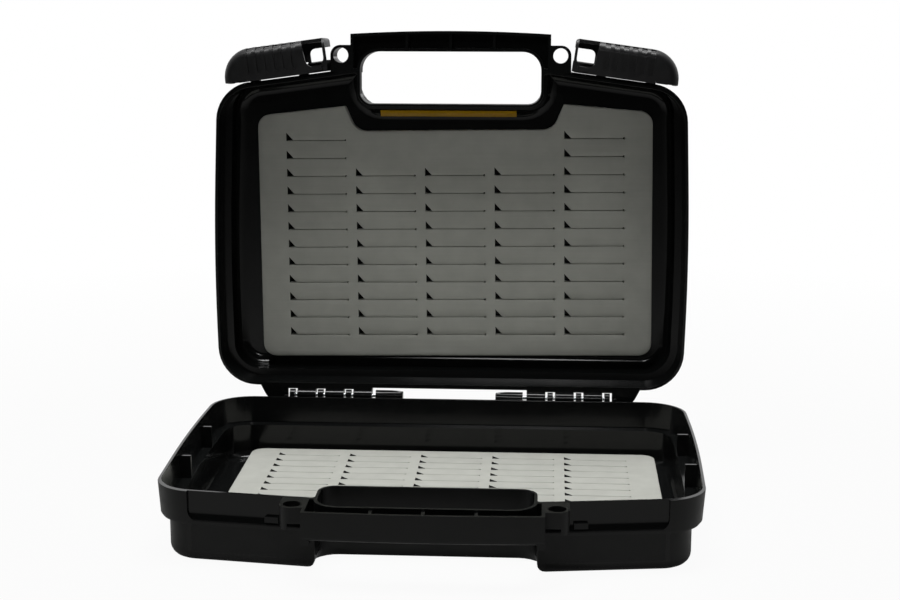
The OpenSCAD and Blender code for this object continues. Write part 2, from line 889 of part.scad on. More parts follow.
// Opening through a latch's inner end and the upper face beside it
module latch_end_opening() {
    rear = pivot_y + pivot_r + end_wall;
    ahead = latch_gap + latch_t - end_strip;
    outer = latch_start + loop_t + end_w;
    translate([0, 0, -latch_down + latch_wall])
        linear_extrude(latch_down + latch_up)
            polygon(rounded([
                [latch_start - past, rear, sharp, 1],
                [outer, rear, sharp, 1],
                [outer, ahead, end_r, 6],
                [latch_start - past, ahead, sharp, 1]
            ]));
}

module groove_prisms() {
    for (i = [0:grooves - 1])
        translate([latch_start + groove_start + i * groove_pitch, latch_gap + groove_back + groove_w / 2,
                   -latch_down - past])
            linear_extrude(past + groove_up) {
                circle(d = groove_w, $fn = 24);
                translate([-groove_w / 2, 0])
                    square([groove_w, latch_t]);
            }
}

// Finger below the window's loop, with a toe that points to the wall
module latch_hook() {
    rear = latch_gap + hook_back;
    foot = -latch_down - hook_h;
    translate([latch_start + hook_start, 0, 0])
        rotate([90, 0, 90])
            linear_extrude(hook_w)
                polygon([
                    [rear, -latch_down + root],
                    [rear, foot + toe_h],
                    [rear - toe_len, foot + toe_h],
                    [rear - toe_len, foot + toe_h / 2],
                    [rear - toe_len / 2, foot],
                    [rear + hook_t, foot],
                    [rear + hook_t, -latch_down + root]
                ]);
}

module boss_slots() {
    for (i = [0, 1])
        translate([
            latch_start + boss_start + i * boss_pitch - boss_play,
            -past,
            pivot_z - pivot_r - boss_play
        ])
            cube([boss_w + 2 * boss_play, past + pivot_y + pivot_r + boss_play, 2 * pivot_r + past]);
}

// What lies outside the pivot's radius at a latch's upper back edge
module latch_heel() {
    translate([latch_start - past, 0, 0])
        rotate([90, 0, 90])
            linear_extrude(latch_len + 2 * past)
                difference() {
                    translate([pivot_y - pivot_r - past, pivot_z])
                        square(pivot_r + past);
                    translate([pivot_y, pivot_z])
                        circle(r = pivot_r, $fn = 48);
                }
}

// What would meet the wall beyond the recess when a latch is pressed in
module latch_relief() {
    translate([recess_len - root, pivot_y, pivot_z])
        rotate([press_angle, 0, 0])
            translate([0, -pivot_y - past, -pivot_z - latch_down - past])
                cube([recess_short + past, past + press_gap, pivot_z + latch_down + past]);
}

module latch() {
    color(latch_plastic)
        on_open_lid()
            at_wall()
                difference() {
                    union() {
                        difference() {
                            latch_block(0, 0);
                            latch_hollow();
                            difference() {
                                groove_prisms();
                                latch_block(groove_d, 0);
                            }
                            latch_window();
                            latch_end_opening();
                        }
                        latch_axle(pivot_r, latch_start, latch_end - pivot_inset);
                        latch_hook();
                    }
                    boss_slots();
                    latch_heel();
                    latch_relief();
                    latch_axle(latch_pin_r + pin_play, latch_start - past, pin_end + root);
                }
}

// ---- foam ----

// Foam sheet with its slits, the notches pointing to the front or to the hinge
module foam_sheet(point) {
    rear = back - foam_back;
    ahead = front + foam_front;
    floor = hole_half + notch_side;
    mouth = floor + notch_flare;
    side = case_w / 2 - foam_side;
    half = [
        [floor, hole_y + notch_back, notch_r, 4],
        [mouth, ahead, mouth_r, 4],
        [side, ahead + (side - mouth) * tan(foam_slope), foam_r, 6],
        [side, rear, foam_r, 6]
    ];
    slits_w = (column_count - 1) * col_pitch + slit_len;
    linear_extrude(foam_t)
        difference() {
            polygon(rounded(concat(half, mirrored(half))));
            for (c = [0:column_count - 1])
                for (r = [0:row_count - 1 - (c > 0 && c < column_count - 1 ? short_count : 0)])
                    translate([c * col_pitch - slits_w / 2, rear - slit_margin - r * row_pitch])
                        slit(point);
        }
}

module slit(point) {
    polygon([
        [0, 0],
        [slit_len, 0],
        [slit_len, point * slit_w],
        [tri_w * (1 - slit_w / tri_h), point * slit_w],
        [0, point * tri_h]
    ]);
    translate([slit_len, point * slit_w / 2])
        circle(d = slit_end_d, $fn = 16);
}

module base_foam() {
    color(foam_grey)
        translate([base_foam_x, 0, wall])
            foam_sheet(1);
}

module lid_foam() {
    color(foam_grey)
        on_open_lid()
            translate([lid_foam_x, -lid_foam_y, rim_gap + lid_h - wall - foam_t])
                rotate(-lid_foam_turn)
                    foam_sheet(-1);
}

// ---- label ----

// Plain label on two facets of the lid's edge radius, behind the hand hole
module label() {
    r = edge_r - wall;
    centre_y = hole_y + wall + edge_r;
    centre_z = rim_gap + lid_h - edge_r;
    turns = [for (k = [2:4]) k * edge_angle];
    color(label_yellow)
        on_open_lid()
            translate([-label_x - label_w / 2, centre_y, centre_z])
                rotate([90, 0, 90])
                    linear_extrude(label_w)
                        polygon(concat(
                            [for (a = turns) r * [-cos(a), sin(a)]],
                            [for (i = [2:-1:0]) (r - label_t) * [-cos(turns[i]), sin(turns[i])]]
                        ));
}

base_shell();
lid_shell();
base_foam();
lid_foam();
mirror([1, 0, 0]) latch();  // left_latch
latch();  // right_latch
mirror([1, 0, 0]) hinge_pin();  // left_hinge_pin
hinge_pin();  // right_hinge_pin
mirror([1, 0, 0]) latch_pin();  // left_latch_pin
latch_pin();  // right_latch_pin
label();
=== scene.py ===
import json
import math

import bmesh
import bpy
import numpy as np
from mathutils import Matrix, Vector, noise
from mathutils.geometry import delaunay_2d_cdt

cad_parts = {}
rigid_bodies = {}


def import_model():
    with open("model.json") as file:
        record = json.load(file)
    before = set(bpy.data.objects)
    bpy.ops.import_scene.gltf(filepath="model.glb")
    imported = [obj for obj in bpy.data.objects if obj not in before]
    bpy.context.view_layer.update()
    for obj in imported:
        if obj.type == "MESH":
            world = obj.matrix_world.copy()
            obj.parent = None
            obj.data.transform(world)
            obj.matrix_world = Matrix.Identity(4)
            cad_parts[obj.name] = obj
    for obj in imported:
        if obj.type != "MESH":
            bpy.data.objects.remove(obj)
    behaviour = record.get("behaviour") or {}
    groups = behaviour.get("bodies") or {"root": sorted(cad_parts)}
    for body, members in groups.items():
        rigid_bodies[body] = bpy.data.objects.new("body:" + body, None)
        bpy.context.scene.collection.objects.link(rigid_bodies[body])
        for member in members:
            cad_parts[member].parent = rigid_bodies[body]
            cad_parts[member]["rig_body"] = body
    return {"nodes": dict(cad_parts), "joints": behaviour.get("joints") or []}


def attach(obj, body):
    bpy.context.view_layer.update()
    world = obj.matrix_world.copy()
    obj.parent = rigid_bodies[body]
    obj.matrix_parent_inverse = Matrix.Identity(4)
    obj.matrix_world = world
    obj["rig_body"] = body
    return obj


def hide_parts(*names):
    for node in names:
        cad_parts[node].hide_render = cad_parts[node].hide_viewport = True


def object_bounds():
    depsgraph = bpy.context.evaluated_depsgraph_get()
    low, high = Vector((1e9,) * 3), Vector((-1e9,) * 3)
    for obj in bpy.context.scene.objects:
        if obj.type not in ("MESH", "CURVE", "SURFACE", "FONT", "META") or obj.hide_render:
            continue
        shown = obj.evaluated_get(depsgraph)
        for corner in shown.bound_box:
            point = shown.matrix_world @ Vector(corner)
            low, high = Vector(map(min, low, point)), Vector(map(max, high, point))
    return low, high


bl_info = {
    "name": "Fly box",
    "version": (1, 0, 0),
    "blender": (4, 5, 0),
    "location": "3D View > Sidebar > Fly box",
    "description": "Finishes the moulded case, its latches, pins, label and foam, and sets up the studio",
    "category": "Object",
}

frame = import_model()
bpy.context.view_layer.update()
CAD_BOX = [list(corner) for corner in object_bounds()]
MM = 0.001

# The sloping front wall beside the handle, and the recess in it behind each latch
FRONT_WALL = -122.5 * MM
HANDLE_SIDE = 75.65 * MM
FRONT_SLOPE = math.tan(math.radians(7.8))
RECESS_MIDDLE, RECESS_HALF_WIDTH = 115.5 * MM, 39.5 * MM
RECESS_DEPTH, RECESS_DEPTH_SPREAD = 1.4 * MM, 0.8 * MM

# The foam: grid of its face, length of its slow waves, how far it settles, and a slit's width
FOAM_GRID = 5 * MM
WAVE_LENGTH = 48 * MM
SETTLED = 0.2 * MM
SLIT_WIDTH = 0.6 * MM


# ---- nodes, colours and shared helpers ----

def linear(hex_colour):
    """sRGB hex to linear RGBA."""
    channels = [int(hex_colour[i:i + 2], 16) / 255 for i in (1, 3, 5)]
    return [c / 12.92 if c <= 0.04045 else ((c + 0.055) / 1.055) ** 2.4 for c in channels] + [1.0]


def toned(colour, factor=1.0):
    """A picked linear colour, lighter or darker by the factor, as RGBA."""
    return [min(c * factor, 1.0) for c in colour] + [1.0]


def add(tree, kind, sockets=None, **settings):
    """Adds a node with its settings. sockets maps an input to its value, or to what feeds it:
    an output, or a node's first output."""
    node = tree.nodes.new(kind)
    for name, value in settings.items():
        setattr(node, name, value)
    for name, value in (sockets or {}).items():
        if isinstance(value, bpy.types.Node):
            value = value.outputs[0]
        if isinstance(value, bpy.types.NodeSocket):
            tree.links.new(value, node.inputs[name])
        else:
            node.inputs[name].default_value = value
    return node


def new_material(name):
    material = bpy.data.materials.new(name)
    material.use_nodes = True
    material.node_tree.nodes.clear()
    return material, material.node_tree


def give(node_name, material):
    """The CAD node's own slot takes the material."""
    node = frame["nodes"][node_name]
    for slot in node.material_slots:
        slot.material = material


def soften(node_name, group):
    """Shades a CAD node's curved walls smoothly; its vertices stay where they are."""
    node = frame["nodes"][node_name]
    node.modifiers.new("Smooth walls", "NODES").node_group = group
    whole = node.modifiers.new("Whole panels", "DECIMATE")
    whole.decimate_type = "DISSOLVE"
    whole.angle_limit = math.radians(0.05)
    weighted = node.modifiers.new("Flat panels", "WEIGHTED_NORMAL")
    weighted.keep_sharp = True


def smooth_group(angle):
    """Joins the facets' doubled points and keeps only the edges sharper than angle."""
    group = bpy.data.node_groups.new("Smooth walls", "GeometryNodeTree")
    group.interface.new_socket("Geometry", in_out="INPUT", socket_type="NodeSocketGeometry")
    group.interface.new_socket("Geometry", in_out="OUTPUT", socket_type="NodeSocketGeometry")
    start = add(group, "NodeGroupInput")
    joined = add(group, "GeometryNodeMergeByDistance", {"Geometry": start, "Distance": 0.004 * MM})
    bare = add(group, "GeometryNodeRemoveAttribute", {"Geometry": joined, "Name": "custom_normal"})
    faces = add(group, "GeometryNodeSetShadeSmooth", {"Geometry": bare, "Shade Smooth": True}, domain="FACE")
    bend = add(group, "GeometryNodeInputMeshEdgeAngle")
    soft = add(group, "FunctionNodeCompare", {0: bend, 1: angle}, operation="LESS_THAN")
    edges = add(group, "GeometryNodeSetShadeSmooth",
                {"Geometry": faces, "Shade Smooth": soft}, domain="EDGE")
    add(group, "NodeGroupOutput", {"Geometry": edges})
    return group


def lid_closing():
    """The turn that carries the open lid shut, from the record's hinge."""
    hinge = next(j for j in frame["joints"] if j["name"] == "lid_hinge")
    pivot = Matrix.Translation(hinge["pos_m"])
    return pivot @ Matrix.Rotation(math.radians(hinge["range_deg"][1]), 4, hinge["axis"]) @ pivot.inverted()


# ---- settings ----

class CaseSettings(bpy.types.PropertyGroup):
    black: bpy.props.FloatVectorProperty(
        name="Case colour", description="Colour of the moulded case", subtype="COLOR",
        min=0, max=1, default=linear("#101111")[:3])
    latch_black: bpy.props.FloatVectorProperty(
        name="Latch colour", description="Colour of the moulded latches", subtype="COLOR",
        min=0, max=1, default=linear("#141415")[:3])
    inner_roughness: bpy.props.FloatProperty(
        name="Inner roughness", description="Roughness of the polished inside of the case",
        min=0, max=1, default=0.13, subtype="FACTOR")
    outer_roughness: bpy.props.FloatProperty(
        name="Outer roughness", description="Roughness of the satin outside of the case",
        min=0, max=1, default=0.42, subtype="FACTOR")
    crease: bpy.props.FloatProperty(
        name="Crease angle", description="Edges that bend more than this stay sharp",
        min=0, max=math.pi, default=math.radians(31), subtype="ANGLE")


class FoamSettings(bpy.types.PropertyGroup):
    grey: bpy.props.FloatVectorProperty(
        name="Foam colour", description="Colour of the foam sheets", subtype="COLOR",
        min=0, max=1, default=linear("#b6b7b0")[:3])
    edge: bpy.props.FloatProperty(
        name="Edge radius", description="Radius to which the cut edges of the foam spring back",
        min=0.0001, max=0.002, default=0.00055, unit="LENGTH")
    slit_edge: bpy.props.FloatProperty(
        name="Slit edge radius", description="Radius of the crisp edges that the slitting knives leave",
        min=0.00005, max=0.001, default=0.00015, unit="LENGTH")
    # How far the notch walls' colour is darkened against the sheet's: painted shade, where little light reaches
    # deep in the notches
    notch_painted_shade: bpy.props.FloatProperty(
        name="Notch painted shade", description="Tone of the dark walls deep in the notches, against the sheet's colour",
        min=0, max=1, default=0.04, subtype="FACTOR")
    notch: bpy.props.FloatProperty(
        name="Notch length", description="Length of the notch at the end of each slit",
        min=0.003, max=0.01, default=0.0065, unit="LENGTH")
    curl: bpy.props.FloatProperty(
        name="Lip height", description="How far the upper lip of a slit stands out of the sheet",
        min=0, max=0.002, default=0.00006, unit="LENGTH")
    waviness: bpy.props.FloatProperty(
        name="Waviness", description="Height of the sheets' slow waves, from the glue under them",
        min=0, max=0.002, default=0.00025, unit="LENGTH")


class LabelSettings(bpy.types.PropertyGroup):
    yellow: bpy.props.FloatVectorProperty(
        name="Label colour", description="Colour of the plain label", subtype="COLOR",
        min=0, max=1, default=linear("#d8a40e")[:3])


class StudioSettings(bpy.types.PropertyGroup):
    key_power: bpy.props.FloatProperty(
        name="Top light", description="Power of the soft light above and behind the case",
        min=0, default=42, unit="POWER")
    fill_power: bpy.props.FloatProperty(
        name="Front fill", description="Power of the weak spot that falls on the middle of the lid",
        min=0, default=26, unit="POWER")
    ambient: bpy.props.FloatProperty(
        name="Room light", description="Strength of the light that the dim room gives all round",
        min=0, max=1, default=0.01)
    lens: bpy.props.FloatProperty(
        name="Lens", description="Focal length of the camera on a 36 mm wide sensor",
        min=20, max=200, default=67.4, unit="CAMERA")


# ---- materials ----

def moulded_polypropylene(looks, name, closing):
    """Polypropylene, injection moulded: the core side is polished and mirrors lights as thin arcs,
    the outside is spark-eroded to a satin that spreads them into soft sheens."""
    material, tree = new_material(name)
    coords = add(tree, "ShaderNodeTexCoord")
    place, normal, up = coords.outputs["Object"], coords.outputs["Normal"], 1
    if closing:
        turn, up = closing.to_euler(), -1
        place = add(tree, "ShaderNodeMapping", {
            "Vector": place, "Rotation": turn, "Location": closing.to_translation()})
        normal = add(tree, "ShaderNodeMapping", {"Vector": normal, "Rotation": turn})
    # A wall's inner face looks back at the middle of the case, and the panel's looks at the rim
    flat_place = add(tree, "ShaderNodeVectorMath", {0: place, 1: (1, 1, 0)}, operation="MULTIPLY")
    outward = add(tree, "ShaderNodeVectorMath", {0: flat_place}, operation="NORMALIZE")
    across = add(tree, "ShaderNodeVectorMath", {0: outward, 1: normal}, operation="DOT_PRODUCT")
    wall_side = add(tree, "ShaderNodeMapRange", {
        0: across.outputs["Value"], 1: -0.05, 2: -0.35, 3: 0.0, 4: 1.0})
    rise = add(tree, "ShaderNodeSeparateXYZ", {"Vector": normal})
    panel_side = add(tree, "ShaderNodeMapRange", {
        0: rise.outputs["Z"], 1: 0.4 * up, 2: 0.8 * up, 3: 0.0, 4: 1.0})
    inside = add(tree, "ShaderNodeMath", {0: wall_side, 1: panel_side}, operation="MAXIMUM")
    # The recess behind each latch lies a little behind the sloping front wall, and is polished too
    point = add(tree, "ShaderNodeSeparateXYZ", {"Vector": place})
    aside = add(tree, "ShaderNodeMath", {0: point.outputs["X"]}, operation="ABSOLUTE")
    wall_line = add(tree, "ShaderNodeMath", {
        0: aside, 1: FRONT_SLOPE, 2: FRONT_WALL - HANDLE_SIDE * FRONT_SLOPE}, operation="MULTIPLY_ADD")
    behind = add(tree, "ShaderNodeMath", {0: point.outputs["Y"], 1: wall_line}, operation="SUBTRACT")
    deep = add(tree, "ShaderNodeMath", {
        0: behind, 1: RECESS_DEPTH, 2: RECESS_DEPTH_SPREAD}, operation="COMPARE")
    beside = add(tree, "ShaderNodeMath", {
        0: aside, 1: RECESS_MIDDLE, 2: RECESS_HALF_WIDTH}, operation="COMPARE")
    recess = add(tree, "ShaderNodeMath", {0: deep, 1: beside}, operation="MULTIPLY")
    inner = add(tree, "ShaderNodeMath", {0: inside, 1: recess}, operation="MAXIMUM")
    # Grit of the eroded mould, 0.5 mm, drawn that coarse so that it shows in the render
    grit = add(tree, "ShaderNodeTexNoise", {"Vector": place, "Scale": 1 / (0.5 * MM), "Detail": 3.0})
    # Slow sink marks of the wall, 30 mm apart, that bend the arcs of light
    sink = add(tree, "ShaderNodeTexNoise", {"Vector": place, "Scale": 1 / (30 * MM), "Detail": 0.0})
    # Handling polish and dust on the outside, in patches of 9 mm
    patch = add(tree, "ShaderNodeTexNoise", {"Vector": place, "Scale": 1 / (9 * MM), "Detail": 4.0})
    satin = add(tree, "ShaderNodeMapRange", {
        0: patch, 1: 0.35, 2: 0.65, 3: looks.outer_roughness - 0.05, 4: looks.outer_roughness + 0.06})
    polish = add(tree, "ShaderNodeMapRange", {
        0: patch, 1: 0.35, 2: 0.65, 3: looks.inner_roughness - 0.01, 4: looks.inner_roughness + 0.02})
    rough = add(tree, "ShaderNodeMix", {0: inner, 2: satin, 3: polish}, data_type="FLOAT")
    grit_share = add(tree, "ShaderNodeMapRange", {0: inner, 1: 0.0, 2: 1.0, 3: 0.05, 4: 0.0})
    grit_height = add(tree, "ShaderNodeMath", {0: grit, 1: grit_share}, operation="MULTIPLY")
    relief = add(tree, "ShaderNodeMath", {0: sink, 1: 0.35, 2: grit_height}, operation="MULTIPLY_ADD")
    bump = add(tree, "ShaderNodeBump", {"Height": relief, "Strength": 0.5, "Distance": 0.6 * MM})
    dusty = add(tree, "ShaderNodeMapRange", {0: patch, 1: 0.4, 2: 0.7, 3: 0.0, 4: 1.0})
    dust = add(tree, "ShaderNodeMath", {0: 1.0, 1: inner}, operation="SUBTRACT")
    where = add(tree, "ShaderNodeMath", {0: dusty, 1: dust}, operation="MULTIPLY")
    colour = add(tree, "ShaderNodeMix", {0: where, 6: toned(looks.black), 7: toned(looks.black, 1.5)},
                 data_type="RGBA")
    surface = add(tree, "ShaderNodeBsdfPrincipled", {
        "Base Color": colour.outputs[2], "Roughness": rough, "Normal": bump, "IOR": 1.49,
        "Specular IOR Level": 0.3})
    add(tree, "ShaderNodeOutputMaterial", {"Surface": surface})
    return material


def moulded_latch_plastic(looks):
    """ABS, injection moulded with a fine eroded texture: an even satin, with a soft sheen on each
    curved end."""
    material, tree = new_material("Moulded ABS, satin")
    place = add(tree, "ShaderNodeTexCoord").outputs["Object"]
    # Erosion grit of 0.4 mm, drawn that coarse so that it shows
    grit = add(tree, "ShaderNodeTexNoise", {"Vector": place, "Scale": 1 / (0.4 * MM), "Detail": 2.0})
    # Finger polish in patches of 7 mm
    patch = add(tree, "ShaderNodeTexNoise", {"Vector": place, "Scale": 1 / (7 * MM), "Detail": 3.0})
    rough = add(tree, "ShaderNodeMapRange", {0: patch, 1: 0.35, 2: 0.65, 3: 0.34, 4: 0.46})
    bump = add(tree, "ShaderNodeBump", {"Height": grit, "Strength": 0.35, "Distance": 0.03 * MM})
    surface = add(tree, "ShaderNodeBsdfPrincipled", {
        "Base Color": toned(looks.latch_black), "Roughness": rough, "Normal": bump, "IOR": 1.54,
        "Specular IOR Level": 0.3})
    add(tree, "ShaderNodeOutputMaterial", {"Surface": surface})
    return material


def drawn_steel():
    """Stainless spring wire, drawn: fine lines along the pin stretch its highlight across them."""
    material, tree = new_material("Drawn stainless steel wire")
    place = add(tree, "ShaderNodeTexCoord").outputs["Object"]
    # Drawing lines 0.15 mm apart that run 12 mm along the pin
    lines = add(tree, "ShaderNodeMapping", {"Vector": place, "Scale": (1 / 12, 1 / 0.15, 1 / 0.15)})
    streak = add(tree, "ShaderNodeTexNoise", {"Vector": lines, "Scale": 1 / MM, "Detail": 2.0})
    rough = add(tree, "ShaderNodeMapRange", {0: streak, 1: 0.3, 2: 0.7, 3: 0.24, 4: 0.4})
    bump = add(tree, "ShaderNodeBump", {"Height": streak, "Strength": 0.2, "Distance": 0.01 * MM})
    surface = add(tree, "ShaderNodeBsdfPrincipled", {
        "Base Color": linear("#c3c5c7"), "Metallic": 1.0, "Roughness": rough, "Normal": bump})
    add(tree, "ShaderNodeOutputMaterial", {"Surface": surface})
    return material


def closed_cell_foam(looks, name, tone):
    """Closed-cell EVA foam, skived from a block: a dry, matte grey with a fine cell grain and faint
    mottling. A tone below 1 darkens the colour and the sheen: painted shade for the walls deep in the notches."""
    material, tree = new_material(name)
    place = add(tree, "ShaderNodeTexCoord").outputs["Object"]
    # Cells of 0.3 mm, drawn at 0.7 mm so that they show in the render
    cells = add(tree, "ShaderNodeTexVoronoi", {"Vector": place, "Scale": 1 / (0.7 * MM)}, feature="SMOOTH_F1")
    # Mottling of the block, 14 mm across, and skiving lines 1.1 mm apart that run across the sheet
    mottle = add(tree, "ShaderNodeTexNoise", {"Vector": place, "Scale": 1 / (14 * MM), "Detail": 4.0})
    lines = add(tree, "ShaderNodeMapping", {"Vector": place, "Scale": (1 / 60, 1 / 1.1, 1 / 1.1)})
    skive = add(tree, "ShaderNodeTexNoise", {"Vector": lines, "Scale": 1 / MM, "Detail": 2.0})
    blend = add(tree, "ShaderNodeMath", {0: skive, 1: 0.4, 2: mottle}, operation="MULTIPLY_ADD")
    share = add(tree, "ShaderNodeMapRange", {0: blend, 1: 0.45, 2: 0.95, 3: 0.0, 4: 1.0})
    # tone scales the colour: below 1 it paints the shade of the deep notch walls
    colour = add(tree, "ShaderNodeMix", {
        0: share, 6: toned(looks.grey, 0.94 * tone), 7: toned(looks.grey, 1.06 * tone)}, data_type="RGBA")
    relief = add(tree, "ShaderNodeMath", {0: skive, 1: 0.6, 2: cells.outputs["Distance"]},
                 operation="MULTIPLY_ADD")
    bump = add(tree, "ShaderNodeBump", {"Height": relief, "Strength": 0.35, "Distance": 0.08 * MM})
    surface = add(tree, "ShaderNodeBsdfPrincipled", {
        "Base Color": colour.outputs[2], "Roughness": 0.92, "Specular IOR Level": 0.25, "Normal": bump,
        "Sheen Weight": 0.08 * tone})
    add(tree, "ShaderNodeOutputMaterial", {"Surface": surface})
    return material


def printed_film(looks):
    """Vinyl film, printed one plain colour: smooth and half glossy, with slight ripples from being
    stuck on a curve."""
    material, tree = new_material("Printed vinyl film")
    place = add(tree, "ShaderNodeTexCoord").outputs["Object"]
    # Ripples 6 mm apart, and print mottling of 1.5 mm
    ripple = add(tree, "ShaderNodeTexNoise", {"Vector": place, "Scale": 1 / (6 * MM), "Detail": 1.0})
    mottle = add(tree, "ShaderNodeTexNoise", {"Vector": place, "Scale": 1 / (1.5 * MM), "Detail": 2.0})
    share = add(tree, "ShaderNodeMapRange", {0: mottle, 1: 0.35, 2: 0.7, 3: 0.0, 4: 1.0})
    colour = add(tree, "ShaderNodeMix", {0: share, 6: toned(looks.yellow), 7: toned(looks.yellow, 0.86)},
                 data_type="RGBA")
    bump = add(tree, "ShaderNodeBump", {"Height": ripple, "Strength": 0.3, "Distance": 0.2 * MM})
    surface = add(tree, "ShaderNodeBsdfPrincipled", {
        "Base Color": colour.outputs[2], "Roughness": 0.35, "Normal": bump, "Coat Weight": 0.2})
    add(tree, "ShaderNodeOutputMaterial", {"Surface": surface})
    return material


# ---- foam sheets ----

def rim_loops(node, flat, level):
    """The outline and the slits of the sheet's face at that height, as rings of points with foam on
    their left."""
    points = [flat @ v.co for v in node.data.vertices]
    follow = {}
    for face in node.data.polygons:
        corners = [points[i] for i in face.vertices]
        if all(abs(p.z - level) < 0.01 * MM for p in corners):
            if face_area(corners) < 0:
                corners.reverse()
            keys = [(round(p.x * 1e7), round(p.y * 1e7)) for p in corners]
            for a, b in zip(keys, keys[1:] + keys[:1]):
                if a == b:
                    continue
                if follow.get(b, set()) and a in follow[b]:
                    follow[b].discard(a)
                else:
                    follow.setdefault(a, set()).add(b)
    loops = []
    while any(follow.values()):
        start = next(k for k, v in follow.items() if v)
        loop, here = [], start
        while follow.get(here):
            loop.append(here)
            here = follow[here].pop()
        loops.append([Vector((x * 1e-7, y * 1e-7)) for x, y in loop])
    return [loop for loop in loops if len(loop) > 2]


def face_area(corners):
    return sum(a.x * b.y - b.x * a.y for a, b in zip(corners, corners[1:] + corners[:1])) / 2


def moved_in(loop, distance):
    """The ring moved into the foam on its left."""
    result = []
    for i, here in enumerate(loop):
        u = (here - loop[i - 1]).normalized()
        v = (loop[(i + 1) % len(loop)] - here).normalized()
        side = Vector((-u.y - v.y, u.x + v.x)) / max(1 + u.dot(v), 0.45)
        result.append(here + side * distance)
    return result


def inside_test(points, loops):
    """True for the points that lie in the foam, by counting crossings."""
    hits = np.zeros(len(points), bool)
    for loop in loops:
        a = np.array([p[:] for p in loop])
        b = np.roll(a, -1, axis=0)
        for (ax, ay), (bx, by) in zip(a, b):
            if ay == by:
                continue
            crosses = (ay > points[:, 1]) != (by > points[:, 1])
            hits ^= crosses & (points[:, 0] < (bx - ax) * (points[:, 1] - ay) / (by - ay) + ax)
    return hits


def clear_of(points, loops, gap):
    """True for the points at least gap away from every ring."""
    far = np.ones(len(points), bool)
    for loop in loops:
        a = np.array([p[:] for p in loop])
        b = np.roll(a, -1, axis=0)
        for start, end in zip(a, b):
            d = end - start
            t = np.clip(((points - start) @ d) / max(d @ d, 1e-18), 0, 1)
            far &= np.linalg.norm(points - start - t[:, None] * d, axis=1) > gap
    return far


def patch(loops, spacing):
    """Triangles between the rings, with a grid of points spacing apart. Returns the points, the
    triangles and the ring point that each point comes from."""
    corners = [p for loop in loops for p in loop]
    edges, first = [], 0
    for loop in loops:
        n = len(loop)
        edges += [(first + i, first + (i + 1) % n) for i in range(n)]
        first += n
    if spacing:
        low = [min(p[k] for p in corners) for k in (0, 1)]
        high = [max(p[k] for p in corners) for k in (0, 1)]
        grid = np.array([(x, y) for x in np.arange(low[0], high[0], spacing)
                         for y in np.arange(low[1], high[1], spacing)])
        grid = grid[inside_test(grid, loops)]
        grid = grid[clear_of(grid, loops, 0.3 * spacing)]
        corners = corners + [Vector(p) for p in grid]
    points, _, faces, origin, _, _ = delaunay_2d_cdt(corners, edges, [], 0, 1e-9, True)
    middles = np.array([[sum(points[i][k] for i in f) / 3 for k in (0, 1)] for f in faces])
    faces = [f for f, keep in zip(faces, inside_test(middles, loops)) if keep]
    return points, faces, [o[0] if o else None for o in origin]


def foam_sheet(name, node_name, flat, materials, looks):
    """A sheet cut from the CAD sheet's outline, with sprung-back edges, slit lips and slow waves; the walls
    deep in each notch take the second material, with painted shade. flat carries the sheet to lie glued face
    down, so that its height is measured from the glue."""
    node = frame["nodes"][node_name]
    back = flat.inverted()
    top = max((flat @ v.co).z for v in node.data.vertices)
    loops = rim_loops(node, flat, top)
    outline = max(loops, key=lambda ring: abs(face_area(ring)))
    up = 1 if node_name == "base_foam" else -1

    def height(p, ring):
        """Height of the sheet's face at p, on the edge of that ring or between the rings."""
        wave = noise.noise(Vector((p.x, p.y, 0.7 * up)) / WAVE_LENGTH) * looks.waviness - SETTLED
        if ring is None or ring is outline:
            return top + wave
        low, high = min(q.x for q in ring), max(q.x for q in ring)
        base = min(up * q.y for q in ring) + SLIT_WIDTH
        along = (p.x - low) / (high - low)
        strength = 0.6 + 0.8 * noise.noise(Vector((low, base, 0)) * 90)
        lip = looks.curl * strength * math.sin(math.pi * min(max(along, 0), 1)) ** 0.6
        return top + wave + (lip if up * p.y > base else -0.5 * lip)

    mesh = bmesh.new()
    edges = [looks.edge if ring is outline else looks.slit_edge for ring in loops]
    rings = [moved_in(ring, edge) for ring, edge in zip(loops, edges)]
    points, faces, origin = patch(rings, FOAM_GRID)
    owner = [ring for ring in loops for _ in ring]
    top_verts = []
    for p, source in zip(points, origin):
        ring = owner[source] if source is not None and source < len(owner) else None
        top_verts.append(mesh.verts.new((p.x, p.y, height(p, ring))))
    for f in faces:
        mesh.faces.new([top_verts[i] for i in f])
    where = {source: vert for source, vert in zip(origin, top_verts) if source is not None}
    start = 0
    foot_rings = []
    for ring, edge in zip(loops, edges):
        n = len(ring)
        levels = [[where[start + i] for i in range(n)]]
        for part, drop in ((0.3, 0.3), (0.0, 1.0)):
            moved = moved_in(ring, edge * part)
            levels.append([mesh.verts.new((q.x, q.y, height(q, ring) - edge * drop)) for q in moved])
        levels.append([mesh.verts.new((q.x, q.y, 0)) for q in ring])
        notch_end = min(q.x for q in ring) + looks.notch
        for above, below in zip(levels, levels[1:]):
            for i in range(n):
                j = (i + 1) % n
                side = mesh.faces.new((above[i], above[j], below[j], below[i]))
                # Walls below the top rounding, in a slit's notch, take the darker material: painted shade
                deep = ring is not outline and above is not levels[0]
                side.material_index = int(deep and max(ring[i].x, ring[j].x) < notch_end)
        foot_rings += levels[-1]
        start += n
    points, faces, origin = patch(loops, None)
    for f in faces:
        mesh.faces.new([foot_rings[origin[i]] for i in reversed(f)])
    bmesh.ops.recalc_face_normals(mesh, faces=mesh.faces)
    bmesh.ops.transform(mesh, matrix=back, verts=mesh.verts)
    if back.determinant() < 0:
        bmesh.ops.reverse_faces(mesh, faces=mesh.faces)
    for face in mesh.faces:
        face.smooth = True
    data = bpy.data.meshes.new(name)
    mesh.to_mesh(data)
    mesh.free()
    data.set_sharp_from_angle(angle=math.radians(50))
    for material in materials:
        data.materials.append(material)
    sheet = bpy.data.objects.new(name, data)
    bpy.context.scene.collection.objects.link(sheet)
    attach(sheet, node["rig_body"])
    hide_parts(node_name)


# ---- operators ----

